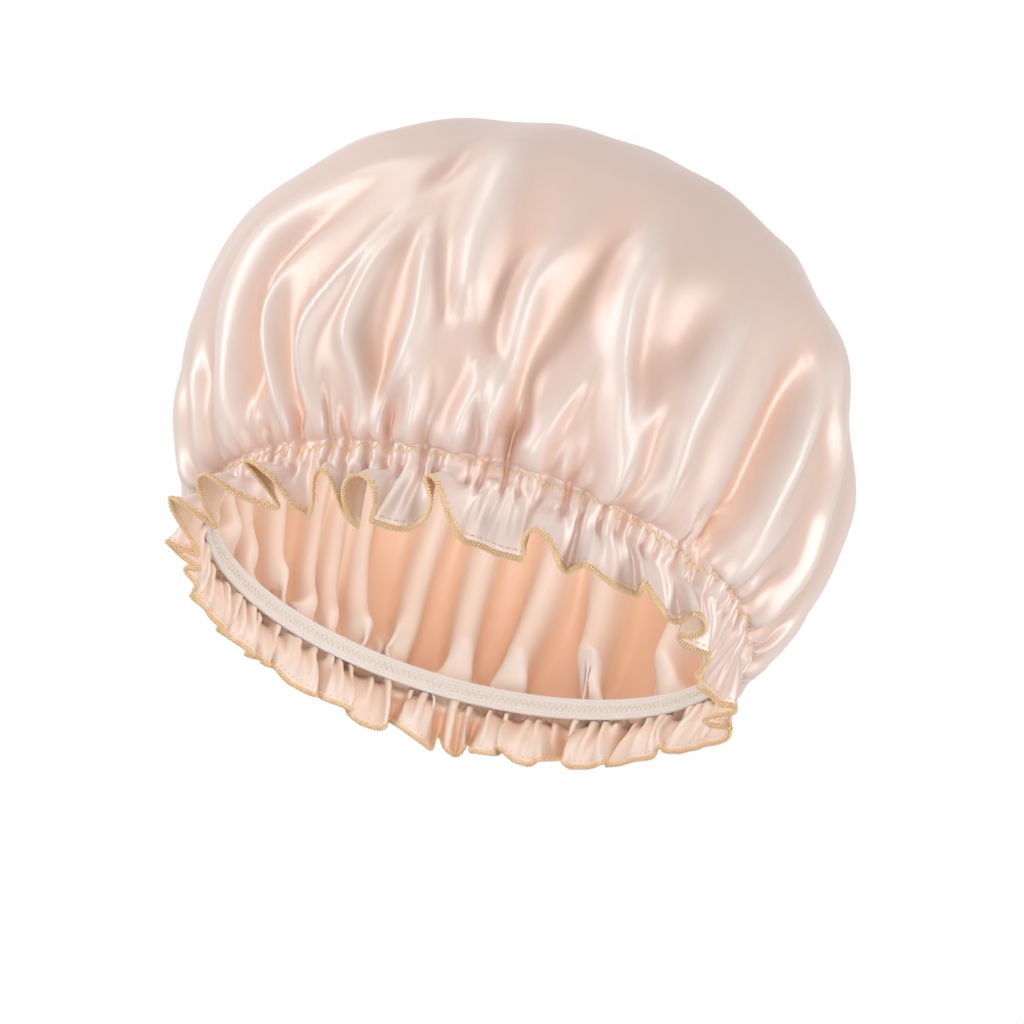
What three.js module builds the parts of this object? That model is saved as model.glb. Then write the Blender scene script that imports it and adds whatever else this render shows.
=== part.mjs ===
// Gathered satin hair bonnet. One round cut of satin is drawn in by a flat elastic band that is zigzagged to
// its inside. The cloth above the band is the puffed crown, the cloth below it is a free ruffle, and the
// ruffle's edge is overlocked. Millimetres, +Z up, standing on its hem on z = 0 with the origin under the
// middle of its box.
import * as THREE from "three";

// Elastic band, a flat strip closed into a loop by lapping its ends
const ELASTIC_OUTER_RADIUS = 91;
const ELASTIC_WIDTH = 8;
const ELASTIC_THICKNESS = 1;
const LAP_LENGTH = 16; // how far the band's upper end runs over its lower end
const LAP_RAMP = 14; // the stretch in which the upper end steps inwards before the lap
const LAP_ANGLE = -Math.PI / 2; // the lap sits at the front of the head opening

// Satin
const CLOTH_THICKNESS = 0.8;
const CROWN_RADIUS = 114; // at its widest
const CROWN_HEIGHT = 148; // from the band's centre line to the top
const CROWN_WIDEST_HEIGHT = 60; // from the band's centre line to the widest ring
const CROWN_FULLNESS = 0.64; // fuller at the shoulder than an ellipse, which is 0.55
const CROWN_LEAN = new THREE.Vector3(1.5, -9, 0); // how far the soft crown's top lies over
const CROWN_BELLY = new THREE.Vector3(-2.3, 0, 0); // and its middle
const FOLD_RISE = 0.1; // share of the crown's outline in which a fold reaches its full depth
const FOLD_END = 0.7; // and the share at which it has died out
// Main folds of the crown, round the cap from +X: degrees at the band, degrees where the fold dies out,
// and how far its line stands out of the crown, or into it. The front has loose ridges and hollows.
const FRONT_FOLDS = [
  [189, 188, 2], [195, 193, -1], [201, 197, 3], [205, 204, -1], [210, 206, 3], [215, 214, -2],
  [220, 219, 3.5], [226, 224, -5], [230, 237, 4], [242, 244, -4.5], [249, 249, 2.5], [255, 257, 3.5],
  [262, 263, -2], [266, 269, 4], [271, 278, -4], [286, 284, 4], [298, 300, 4.5], [313, 315, -6],
  [327, 327, 2.5], [334, 336, -1], [341, 339, 2.5], [348, 348, -1], [355, 356, 2.5], [361, 361, -0.5],
  [367, 367, 2.5], [373, 373, -0.5], [379, 380, 2.5],
];
// The back hangs in deep pleats that stand into the head space, with a crest midway between two of them.
const BACK_PLEATS = [
  [24.5, 26.5, -11], [39.5, 46, -11], [58.5, 65, -14], [76, 75, -11], [88.5, 88.5, -11],
  [101, 99, -9], [110.5, 113, -7], [117.3, 117.5, -5], [123.3, 122.3, -5.5], [132.5, 132, -8],
  [141, 141, -7], [149.5, 149, -8], [159, 159, -8], [168, 168, -9], [179, 180, -10.5],
];
const PLEAT_CREST = 1.5;
const RUFFLE_LENGTH = 25; // from the band's centre line to the lower edge of the hem
const RUFFLE_WAVES = 22;
const RUFFLE_LEAN_OUT = 34; // degrees from the vertical at the crest of a wave
const RUFFLE_LEAN_IN = -8; // and in its trough

// Sewing thread
const THREAD_DIAMETER = 0.5;
const ZIGZAG_WIDTH = 3;
const ZIGZAG_COUNT = 96; // zigzags round the band
const TACK_HEIGHT = 1;
const HEM_HEIGHT = 3; // the overlock's bite on the edge of the cloth
const HEM_WIDTH = 1.6;
const HEM_NEEDLE_RISE = 1.5; // the overlock's needle thread above its wrap
const FOOT_CUT = 0.5; // the hem is pressed flat by this much where it stands

const CLEARANCE = 0.3; // between pieces that touch

// Fineness of the surfaces
const WIDEST_STEP = 6.5; // degrees between two meridians of the crown
const STEPS_PER_WAVE = 6;
const CROWN_LOWER_RINGS = [0.06, 0.17]; // shares of the outline below the widest ring
const CROWN_UPPER_RINGS = 4; // from the widest ring to the top
const RUFFLE_RINGS = 2;
const BAND_STEPS = 110;
const RAMP_STEPS = 8; // extra steps of the band along its ramp
const HEM_SIDES = 8;
const THREAD_SIDES = 4;

const FULL_TURN = 2 * Math.PI;
const bandHalfWidth = ELASTIC_WIDTH / 2;
const clothInnerRadius = ELASTIC_OUTER_RADIUS + CLEARANCE;
const clothOuterRadius = clothInnerRadius + CLOTH_THICKNESS;
const ruffleCut = RUFFLE_LENGTH - HEM_HEIGHT; // the cloth ends here, on top of the hem
const threadSeat = CLEARANCE + THREAD_DIAMETER / 2; // a thread's centre above the face it lies on
const bandHeight = ruffleCut + CLEARANCE + HEM_HEIGHT - FOOT_CUT; // the band's centre line above the table

const satin = new THREE.MeshStandardMaterial({ color: "#f0d6c9", roughness: 0.35 });
const elasticWeave = new THREE.MeshStandardMaterial({ color: "#f3ede4", roughness: 0.85 });
const goldThread = new THREE.MeshStandardMaterial({ color: "#e2b56f", roughness: 0.6 });

function aroundAxis(angle, radius, height) {
  return new THREE.Vector3(radius * Math.cos(angle), radius * Math.sin(angle), height);
}

function stepAngles(count) {
  return Array.from({ length: count }, (_, i) => (FULL_TURN * i) / count);
}

// One closed surface through a ring of cross-sections. Each section is a closed loop of points that climbs on
// its outer side, and a point that the sections share, such as the top of the crown, becomes one vertex. The
// inner side is split into triangles as the outer side is, so a bent wall keeps its thickness.
function sweepAround(sections) {
  const places = [];
  const numbers = new Map();
  const vertex = (point) => {
    const key = point.toArray().map((v) => v.toFixed(4)).join();
    if (!numbers.has(key)) {
      numbers.set(key, numbers.size);
      places.push(...point.toArray());
    }
    return numbers.get(key);
  };
  const triangles = [];
  const triangle = (a, b, c) => {
    if (a !== b && b !== c && c !== a) triangles.push(a, b, c);
  };
  sections.forEach((section, i) => {
    const next = sections[(i + 1) % sections.length];
    section.forEach((_, j) => {
      const k = (j + 1) % section.length;
      const [a, b, c, d] = [section[j], next[j], next[k], section[k]].map(vertex);
      if (j < section.length / 2) {
        triangle(a, b, c);
        triangle(a, c, d);
      } else {
        triangle(a, b, d);
        triangle(b, c, d);
      }
    });
  });
  return new THREE.BufferGeometry()
    .setAttribute("position", new THREE.Float32BufferAttribute(places, 3))
    .setIndex(triangles);
}

function piece(name, geometry, material) {
  const mesh = new THREE.Mesh(geometry, material);
  mesh.name = name;
  return mesh;
}

// The outward normal of a cloth face, which is a point for an angle and a distance up the cloth
function outwardNormal(face, angle, rise, step) {
  const round = face(angle + step, rise).sub(face(angle - step, rise));
  const upwards = face(angle, rise + step).sub(face(angle, rise - step));
  return round.cross(upwards).normalize();
}
const FACE_STEP = 0.001; // small enough for the normals, in radians and in shares or millimetres of cloth

// Crown: the outline of the puffed dome, from the band's top edge round the overhang to the top
const crownOutline = new THREE.CurvePath();
crownOutline.add(
  new THREE.EllipseCurve(
    clothOuterRadius,
    CROWN_WIDEST_HEIGHT,
    CROWN_RADIUS - clothOuterRadius,
    CROWN_WIDEST_HEIGHT - bandHalfWidth,
    -Math.PI / 2,
    0,
  ),
);
crownOutline.add(
  new THREE.CubicBezierCurve(
    new THREE.Vector2(CROWN_RADIUS, CROWN_WIDEST_HEIGHT),
    new THREE.Vector2(CROWN_RADIUS, THREE.MathUtils.lerp(CROWN_WIDEST_HEIGHT, CROWN_HEIGHT, CROWN_FULLNESS)),
    new THREE.Vector2(CROWN_RADIUS * CROWN_FULLNESS, CROWN_HEIGHT),
    new THREE.Vector2(0, CROWN_HEIGHT),
  ),
);
const [lowerLength, outlineLength] = crownOutline.getCurveLengths();
const widestShare = lowerLength / outlineLength;
const ringShares = [...CROWN_LOWER_RINGS];
for (let i = 0; i < CROWN_UPPER_RINGS; i++) {
  ringShares.push(THREE.MathUtils.lerp(widestShare, 1, i / CROWN_UPPER_RINGS));
}

// Every line along which the crown is folded, in order round the cap, with the first one again at the end
const pleatCrests = BACK_PLEATS.slice(1).map(([low, high], i) => {
  const [lowBefore, highBefore] = BACK_PLEATS[i];
  return [(low + lowBefore) / 2, (high + highBefore) / 2, PLEAT_CREST];
});
const foldLines = [...BACK_PLEATS, ...pleatCrests, ...FRONT_FOLDS].map(([low, high, out]) => ({
  angle: THREE.MathUtils.degToRad(low),
  drift: THREE.MathUtils.degToRad(high - low),
  out,
}));
foldLines.sort((a, b) => a.angle - b.angle);
foldLines.push({ ...foldLines[0], angle: foldLines[0].angle + FULL_TURN });
const foldStart = foldLines[0].angle;

// The meridians of the crown: on each fold line, and between lines that lie far apart
const foldAngles = foldLines.slice(1).flatMap((line, i) => {
  const before = foldLines[i].angle;
  const steps = Math.ceil(THREE.MathUtils.radToDeg(line.angle - before) / WIDEST_STEP);
  return Array.from({ length: steps }, (_, j) => THREE.MathUtils.lerp(before, line.angle, j / steps));
});

// How far the crown stands out at an angle, and how far its folds drift round the cap from the band upwards
function foldAt(angle) {
  const turned = foldStart + THREE.MathUtils.euclideanModulo(angle - foldStart, FULL_TURN);
  const i = foldLines.findIndex((line) => line.angle > turned);
  const [before, after] = [foldLines[i - 1], foldLines[i]];
  const part = (turned - before.angle) / (after.angle - before.angle);
  const ease = (1 - Math.cos(Math.PI * part)) / 2;
  return {
    out: THREE.MathUtils.lerp(before.out, after.out, ease),
    drift: THREE.MathUtils.lerp(before.drift, after.drift, part),
  };
}

// How deep the folds are at a share of the outline: nothing at the band, deepest above it, then dying out
function foldEnvelope(share) {
  const rise = THREE.MathUtils.clamp(share / FOLD_RISE, 0, 1);
  const fade = THREE.MathUtils.clamp((FOLD_END - share) / (FOLD_END - FOLD_RISE), 0, 1);
  return Math.min(rise, fade);
}

// How far the crown lies over at a height above the band
function crownSway(height) {
  const over = THREE.MathUtils.clamp(height / CROWN_HEIGHT, 0, 1);
  return CROWN_LEAN.clone().multiplyScalar(over).addScaledVector(CROWN_BELLY, 4 * over * (1 - over));
}

// The crown's outer face, with its folds
function crownFace(angle, share) {
  const { out, drift } = foldAt(angle);
  const middle = crownOutline.getPoint(share);
  const tangent = crownOutline.getTangent(share);
  const outwards = new THREE.Vector2(tangent.y, -tangent.x);
  const p = middle.clone().addScaledVector(outwards, out * foldEnvelope(share));
  return aroundAxis(angle + drift * Math.min(share / FOLD_END, 1), p.x, p.y).add(crownSway(middle.y));
}

const crownTop = crownSway(CROWN_HEIGHT).setZ(CROWN_HEIGHT);

// A meridian of the crown: its outer points from the band to the top, then its inner points back down
function crownSection(angle) {
  const outer = [
    aroundAxis(angle, clothOuterRadius, CLEARANCE / 2),
    aroundAxis(angle, clothOuterRadius, bandHalfWidth), // here the crown turns out of the stitched zone
  ];
  const inner = [
    aroundAxis(angle, clothInnerRadius, CLEARANCE / 2),
    aroundAxis(angle, clothInnerRadius, bandHalfWidth + CLOTH_THICKNESS),
  ];
  for (const share of ringShares) {
    const point = crownFace(angle, share);
    const normal = outwardNormal(crownFace, angle, share, FACE_STEP);
    outer.push(point);
    inner.push(point.clone().addScaledVector(normal, -CLOTH_THICKNESS));
  }
  outer.push(crownTop);
  inner.push(crownTop.clone().setZ(CROWN_HEIGHT - CLOTH_THICKNESS));
  return [...outer, ...inner.reverse()];
}

// Ruffle: straight from the band's lower edge to the hem, leaning out and in by turns
function ruffleLean(angle) {
  const middle = (RUFFLE_LEAN_OUT + RUFFLE_LEAN_IN) / 2;
  const swing = (RUFFLE_LEAN_OUT - RUFFLE_LEAN_IN) / 2;
  return THREE.MathUtils.degToRad(middle + swing * Math.cos(RUFFLE_WAVES * angle));
}

// The ruffle's outer face at a rise along the cloth, which is below the band's centre line and so negative
function ruffleFace(angle, rise) {
  const free = Math.max(-rise - bandHalfWidth, 0);
  const lean = ruffleLean(angle);
  return aroundAxis(
    angle,
    clothOuterRadius + free * Math.sin(lean),
    rise + free - free * Math.cos(lean),
  );
}

function ruffleInside(angle, rise) {
  const normal = outwardNormal(ruffleFace, angle, rise, FACE_STEP);
  return ruffleFace(angle, rise).addScaledVector(normal, -CLOTH_THICKNESS);
}

function ruffleSection(angle) {
  const rises = [-ruffleCut];
  for (let ring = RUFFLE_RINGS - 1; ring > 0; ring--) {
    rises.push(-THREE.MathUtils.lerp(bandHalfWidth, ruffleCut, ring / RUFFLE_RINGS));
  }
  rises.push(-bandHalfWidth, -CLEARANCE / 2);
  const outer = rises.map((rise) => ruffleFace(angle, rise));
  const inner = rises.map((rise) => ruffleInside(angle, rise));
  return [...outer, ...inner.reverse()];
}

// A thread or hem round the cap: a regular section of the given size about each point of a closed path.
// across points out of the cap and upwards climbs it.
function roundSection(centre, across, upwards, width, height, sides) {
  const corner = 1 / Math.cos(Math.PI / sides);
  return Array.from({ length: sides }, (_, i) => {
    const turn = (FULL_TURN * (i + 0.5)) / sides;
    return centre
      .clone()
      .addScaledVector(across, (width / 2) * corner * Math.cos(turn))
      .addScaledVector(upwards, (height / 2) * corner * Math.sin(turn));
  });
}

// Hem: the overlock wrap under the ruffle's edge, pressed flat where it meets the table
function hemCentre(angle) {
  const outer = ruffleFace(angle, -ruffleCut);
  const inner = ruffleInside(angle, -ruffleCut);
  const middle = outer.clone().lerp(inner, 0.5);
  return middle.setZ(Math.min(outer.z, inner.z) - CLEARANCE - HEM_HEIGHT / 2);
}

function hemGeometry() {
  const centres = waveAngles.map(hemCentre);
  const sections = centres.map((centre, i) => {
    const before = centres.at(i - 1);
    const after = centres[(i + 1) % centres.length];
    const along = after.clone().sub(before).setZ(0).normalize();
    const across = new THREE.Vector3(along.y, -along.x, 0);
    const up = new THREE.Vector3(0, 0, 1);
    return roundSection(centre, across, up, HEM_WIDTH, HEM_HEIGHT, HEM_SIDES).map((p) =>
      p.setZ(Math.max(p.z, -bandHeight)),
    );
  });
  return sweepAround(sections);
}

// The overlock's needle thread, on the ruffle's outer face just above the wrap
function hemNeedleGeometry() {
  const rise = HEM_NEEDLE_RISE - ruffleCut;
  const sections = waveAngles.map((angle) => {
    const across = outwardNormal(ruffleFace, angle, rise, FACE_STEP);
    const centre = ruffleFace(angle, rise);
    const upwards = ruffleFace(angle, -bandHalfWidth).sub(centre).normalize();
    centre.addScaledVector(across, threadSeat);
    return roundSection(centre, across, upwards, THREAD_DIAMETER, THREAD_DIAMETER, THREAD_SIDES);
  });
  return sweepAround(sections);
}

// Band: a strip in plan, a little over one turn long, whose upper end steps inwards over its lower end
const bandMiddleRadius = ELASTIC_OUTER_RADIUS - ELASTIC_THICKNESS / 2;
const lapTurn = LAP_LENGTH / bandMiddleRadius;
const rampTurn = LAP_RAMP / bandMiddleRadius;
const lapStep = ELASTIC_THICKNESS + CLEARANCE;

// How far in the band lies at a turn counted from its lower end
function bandInset(turn) {
  const onRamp = (turn - (FULL_TURN - rampTurn)) / (rampTurn * 0.8);
  return lapStep * THREE.MathUtils.smoothstep(onRamp, 0, 1);
}

function bandGeometry() {
  const turns = [];
  for (let i = 0; i <= BAND_STEPS; i++) turns.push(((FULL_TURN - rampTurn) * i) / BAND_STEPS);
  for (let i = 1; i <= RAMP_STEPS; i++) {
    turns.push(FULL_TURN - rampTurn + ((rampTurn + lapTurn) * i) / RAMP_STEPS);
  }
  const side = (turn, radius) => {
    const p = aroundAxis(LAP_ANGLE + turn, radius - bandInset(turn), 0);
    return new THREE.Vector2(p.x, p.y);
  };
  const outer = turns.map((turn) => side(turn, ELASTIC_OUTER_RADIUS));
  const inner = turns.map((turn) => side(turn, ELASTIC_OUTER_RADIUS - ELASTIC_THICKNESS));
  const strip = new THREE.Shape([...outer, ...inner.reverse()]);
  const solid = new THREE.ExtrudeGeometry(strip, { depth: ELASTIC_WIDTH, bevelEnabled: false });
  return solid.translate(0, 0, -bandHalfWidth);
}

// A zigzag thread on a face of the stitched zone, whose radius may change with the angle
function zigzagGeometry(faceRadius) {
  const points = stepAngles(2 * ZIGZAG_COUNT).map((angle, i) =>
    aroundAxis(angle, faceRadius(angle), (i % 2 ? 1 : -1) * (ZIGZAG_WIDTH / 2)),
  );
  const sections = points.map((centre) => {
    const across = centre.clone().setZ(0).normalize();
    const up = new THREE.Vector3(0, 0, 1);
    return roundSection(centre, across, up, THREAD_DIAMETER, THREAD_DIAMETER, THREAD_SIDES);
  });
  return sweepAround(sections);
}

const bandFaceRadius = ELASTIC_OUTER_RADIUS - ELASTIC_THICKNESS;

// The thread on the band follows its step at the lap, and comes down again past the upper end
function bobbinRadius(angle) {
  const turn = THREE.MathUtils.euclideanModulo(angle - LAP_ANGLE, FULL_TURN);
  const past = (turn - lapTurn - rampTurn / 2) / (rampTurn / 2);
  const onLap = turn < Math.PI ? 1 - THREE.MathUtils.smoothstep(past, 0, 1) : 0;
  return bandFaceRadius - Math.max(bandInset(turn + rampTurn / 2), lapStep * onLap) - threadSeat;
}

// Two short tacks through the lap, above and below the zigzag
function tackGeometry() {
  const outer = bandFaceRadius - lapStep - CLEARANCE;
  const inner = outer - THREAD_DIAMETER;
  const from = LAP_ANGLE + lapTurn * 0.1;
  const to = LAP_ANGLE + lapTurn * 0.9;
  const bar = new THREE.Shape();
  bar.absarc(0, 0, outer, from, to, false);
  bar.absarc(0, 0, inner, to, from, true);
  const solid = new THREE.ExtrudeGeometry(bar, { depth: TACK_HEIGHT, bevelEnabled: false, curveSegments: 4 });
  return solid.translate(0, 0, -TACK_HEIGHT / 2);
}
// Midway from the zigzag to the band's edge
const tackPlace = (bandHalfWidth + (ZIGZAG_WIDTH + THREAD_DIAMETER) / 2) / 2;

const waveAngles = stepAngles(RUFFLE_WAVES * STEPS_PER_WAVE);

const cloth = new THREE.Group();
cloth.add(
  piece("crown_cloth", sweepAround(foldAngles.map(crownSection)), satin),
  piece("ruffle_cloth", sweepAround(waveAngles.map(ruffleSection)), satin),
  piece("needle_zigzag", zigzagGeometry(() => clothOuterRadius + threadSeat), goldThread),
);

const band = new THREE.Group();
band.add(
  piece("elastic_band", bandGeometry(), elasticWeave),
  piece("bobbin_zigzag", zigzagGeometry(bobbinRadius), goldThread),
);
for (const [name, side] of [["lap_tack_upper", 1], ["lap_tack_lower", -1]]) {
  const tack = piece(name, tackGeometry(), goldThread);
  tack.position.z = side * tackPlace;
  band.add(tack);
}

const hem = new THREE.Group();
hem.add(
  piece("overlock_hem", hemGeometry(), goldThread),
  piece("hem_needle_thread", hemNeedleGeometry(), goldThread),
);

// The crown lies over to the front, so the whole cap is set back until its box stands over the origin
const bonnet = new THREE.Group();
bonnet.add(cloth, band, hem);
const boxCentre = new THREE.Box3().setFromObject(bonnet).getCenter(new THREE.Vector3());
bonnet.position.set(-boxCentre.x, -boxCentre.y, bandHeight);

const part = new THREE.Group();
part.add(bonnet);
export default part;
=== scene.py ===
import math
import bpy
import numpy as np
from mathutils import Matrix, Vector


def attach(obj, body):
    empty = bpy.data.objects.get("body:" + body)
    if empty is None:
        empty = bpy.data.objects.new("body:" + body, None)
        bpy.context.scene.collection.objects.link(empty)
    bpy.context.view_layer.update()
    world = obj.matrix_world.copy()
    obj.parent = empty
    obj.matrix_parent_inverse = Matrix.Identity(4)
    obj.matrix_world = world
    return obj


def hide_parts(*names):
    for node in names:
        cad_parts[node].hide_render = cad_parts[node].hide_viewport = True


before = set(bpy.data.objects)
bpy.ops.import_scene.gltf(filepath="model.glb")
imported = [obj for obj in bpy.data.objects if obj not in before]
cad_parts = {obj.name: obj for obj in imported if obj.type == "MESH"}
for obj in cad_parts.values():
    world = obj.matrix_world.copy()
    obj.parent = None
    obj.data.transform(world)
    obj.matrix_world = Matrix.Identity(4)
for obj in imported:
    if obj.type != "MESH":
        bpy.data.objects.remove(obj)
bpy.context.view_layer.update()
bpy.ops.object.select_all(action="DESELECT")
scene = bpy.context.scene
mm = 0.001
seat = np.array([1.11, 4.605, 0.0])  # mm, the elastic's axis: the leaning cap's box stands over the origin


def linear(hexColour):
    parts = [int(hexColour[i:i + 2], 16) / 255 for i in (1, 3, 5)]
    return [c / 12.92 if c <= 0.04045 else ((c + 0.055) / 1.055) ** 2.4 for c in parts] + [1.0]


def nodesOf(owner):
    # empties the node tree of a material or a world, and gives a function that adds nodes to it
    owner.use_nodes = True
    tree = owner.node_tree
    tree.nodes.clear()

    def add(kind, values=None, links=None, **settings):
        node = tree.nodes.new("ShaderNode" + kind)
        for name, value in settings.items():
            setattr(node, name, value)
        for name, value in (values or {}).items():
            node.inputs[name].default_value = value
        for name, socket in (links or {}).items():
            tree.links.new(socket, node.inputs[name])
        return node

    return add


def newMaterial(name):
    material = bpy.data.materials.new(name)
    return material, nodesOf(material)


def waveScale(period):
    # a wave texture of scale 1 has a period of pi / 10 m; the period here is in mm
    return math.pi / 10 / (period * mm)


def meshPiece(name, points, faces, material):
    mesh = bpy.data.meshes.new(name)
    mesh.from_pydata([tuple(p) for p in (np.asarray(points) + seat) * mm], [], [tuple(f) for f in faces])
    mesh.update()
    piece = bpy.data.objects.new(name, mesh)
    scene.collection.objects.link(piece)
    mesh.materials.append(material)
    mesh.shade_smooth()
    return piece


def layFlat(piece, layerName, flat):
    # every corner gets its place on the flat cloth, in metres
    mesh = piece.data
    corners = np.empty(len(mesh.loops), dtype=np.int32)
    mesh.loops.foreach_get("vertex_index", corners)
    layer = mesh.uv_layers.new(name=layerName)
    layer.data.foreach_set("uv", (np.asarray(flat)[corners] * mm).ravel())


# camera: looks up into the mouth from in front and below, rolled as in the photograph
cameraSetup = {
    "place": (0.0, -1.12266, -0.46674),
    "aim": (0.00479, 0.90674, 0.42165),
    "up": (-0.27309, -0.40444, 0.87284),
    "lens": 129.966,
    "sensor": 36,
    "clip": (0.01, 50),
    "photoSize": 1024,  # pixels across the photograph
}
bpy.ops.object.camera_add()
camera = bpy.context.object
camera.name = "camera"
aim = Vector(cameraSetup["aim"]).normalized()
side = aim.cross(Vector(cameraSetup["up"])).normalized()
up = side.cross(aim)
turn = Matrix((side, up, -aim)).transposed().to_4x4()
camera.matrix_world = Matrix.Translation(Vector(cameraSetup["place"]) + Vector(seat * mm)) @ turn
camera.data.sensor_width = cameraSetup["sensor"]
camera.data.lens = cameraSetup["lens"]
camera.data.clip_start, camera.data.clip_end = cameraSetup["clip"]
scene.camera = camera

# the photograph as a measure, in mm from the elastic's axis: a pixel shows what lies on its sight line
eye = np.array(cameraSetup["place"]) / mm
eyeSide, eyeUp, eyeAim = np.array(side), np.array(up), np.array(aim)
photoMiddle = cameraSetup["photoSize"] / 2
zoom = cameraSetup["lens"] / cameraSetup["sensor"] * cameraSetup["photoSize"]


def toPhoto(points):
    away = points - eye
    deep = away @ eyeAim
    across, upward = zoom * (away @ eyeSide) / deep, zoom * (away @ eyeUp) / deep
    return np.stack([photoMiddle + across, photoMiddle - upward], -1)


def sightLine(x, y):
    line = eyeAim * zoom + eyeSide * (x - photoMiddle) - eyeUp * (y - photoMiddle)
    return line / np.linalg.norm(line)


print("camera set")

# studio: pale floor, white surround, soft lamps
studio = {
    "white": "#FFFFFF",
    "floorSize": 6.0,
    "floorColour": "#ECEAE8",
    "floorGlow": 0.4,  # of white, for the camera alone
    "floorGone": 1.3,  # metres from the middle, where the floor has run out into the white
    "floorWhole": 0.45,  # and where it is whole
    "skyLight": 0.25,
    # place, aim point, width and height in metres, then watts
    "lamps": {
        "lampFront": ((0.0, -1.25, -1.05), (0, 0, 0.06), 0.9, 0.9, 8.4),
        # stands for the light that the thin cloth lets through into the head space
        "lampInside": ((0.0, -0.06, 0.1), (0.0, 0.1, 0.04), 0.12, 0.08, 0.082),
        "lampLeft": ((-1.45, -0.75, 0.15), (0, 0, 0.09), 0.45, 1.4, 12),
        "lampRight": ((1.45, -0.85, 0.0), (0, 0, 0.09), 0.45, 1.4, 13),
        "lampOver": ((-1.1, -0.5, 1.5), (0, 0, 0.09), 1.2, 0.8, 6),
    },
}


def floorMaterial():
    material, add = newMaterial("matt painted floor")
    diffuse = add("BsdfDiffuse", {"Color": linear(studio["floorColour"])})
    glow = add("Emission", {"Color": linear(studio["white"]), "Strength": studio["floorGlow"]})
    pale = add("AddShader", None, {0: diffuse.outputs[0], 1: glow.outputs[0]})
    clear = add("BsdfTransparent")
    # only the camera meets it, from above, so light still reaches the mouth from below as in the photograph
    path = add("LightPath")
    under = add("NewGeometry")
    shown = add("Math", None, {0: path.outputs["Is Camera Ray"], 1: under.outputs["Backfacing"]},
                operation="SUBTRACT", use_clamp=True)
    spot = add("TexCoord")
    away = add("VectorMath", None, {0: spot.outputs["Object"]}, operation="LENGTH")
    whole = add("MapRange", {"From Min": studio["floorGone"], "From Max": studio["floorWhole"]},
                {"Value": away.outputs["Value"]})
    shown = add("Math", None, {0: shown.outputs[0], 1: whole.outputs[0]}, operation="MULTIPLY")
    mix = add("MixShader", None, {0: shown.outputs[0], 1: clear.outputs[0], 2: pale.outputs[0]})
    add("OutputMaterial", None, {"Surface": mix.outputs[0]})
    return material


bpy.ops.mesh.primitive_plane_add(size=studio["floorSize"], location=(0, 0, 0))
floor = bpy.context.object
floor.name = "floor"
floor.data.materials.append(floorMaterial())

world = bpy.data.worlds.new("studio")
scene.world = world
add = nodesOf(world)
path = add("LightPath")
seen = add("Math", None, {0: path.outputs["Is Camera Ray"], 1: path.outputs["Is Transmission Ray"]},
           operation="MAXIMUM")
seen = add("Math", None, {0: seen.outputs[0], 1: path.outputs["Is Glossy Ray"]}, operation="MAXIMUM")
light = add("Background", {"Color": linear(studio["white"]), "Strength": studio["skyLight"]})
white = add("Background", {"Color": linear(studio["white"]), "Strength": 1.0})
mix = add("MixShader", None, {0: seen.outputs[0], 1: light.outputs[0], 2: white.outputs[0]})
add("OutputWorld", None, {"Surface": mix.outputs[0]})

for name, (place, target, width, height, watts) in studio["lamps"].items():
    bpy.ops.object.light_add(type="AREA", location=place)
    lamp = bpy.context.object
    lamp.name = name
    lamp.data.shape = "RECTANGLE"
    lamp.data.size, lamp.data.size_y = width, height
    lamp.data.energy = watts
    lamp.rotation_euler = (Vector(target) - Vector(place)).to_track_quat("-Z", "Y").to_euler()
    lamp.visible_camera = False
scene.view_settings.view_transform = "Standard"
print("studio set")

# satin: polyester charmeuse, woven with long floats, so it shines along the yarn; the warm glow in its folds
# is painted into its colour
satinFinish = {
    # painted shade and highlight: colour of the cloth painted in a fold's valley, half way and on its crest,
    # and where
    # half way lies from 0 to 1: it paints the light that passes through the thin cloth from fold to fold,
    # pale where the cloth stands towards the eye, a painted highlight, and deep peach where it lies back,
    # painted shade
    "face": {"valley": "#E8BA9E", "middle": "#EACCBE", "crest": "#F5E4DB", "halfWay": 0.5,
             "roughness": 0.38, "shine": 1.0},
    # the reverse faces the head space: its colours are painted paler and warmer, a painted glow of the light
    # that comes through the thin cloth, with painted shade in its deep gaps
    "reverse": {"valley": "#F4CBAC", "middle": "#F9DFCB", "crest": "#FDF0E6", "halfWay": 0.36,
                "roughness": 0.44, "shine": 0.7},
    "valleyAt": 0.05,
    "crestAt": 0.95,
    "index": 1.7,
    "anisotropy": 0.4,
    "sheen": "#FFF4EE",
    "yarn": 0.45,  # mm between yarns, drawn about three times coarser than the real weave so that it shows
    "yarnHeight": 0.12,  # mm
    "slub": 9.0,  # mm, slow variation along the cloth
    "slubTone": 0.3,  # how far it moves the tone, of a range of 2
    "slubGloss": (-0.03, 0.05),  # and the roughness
}


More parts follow.
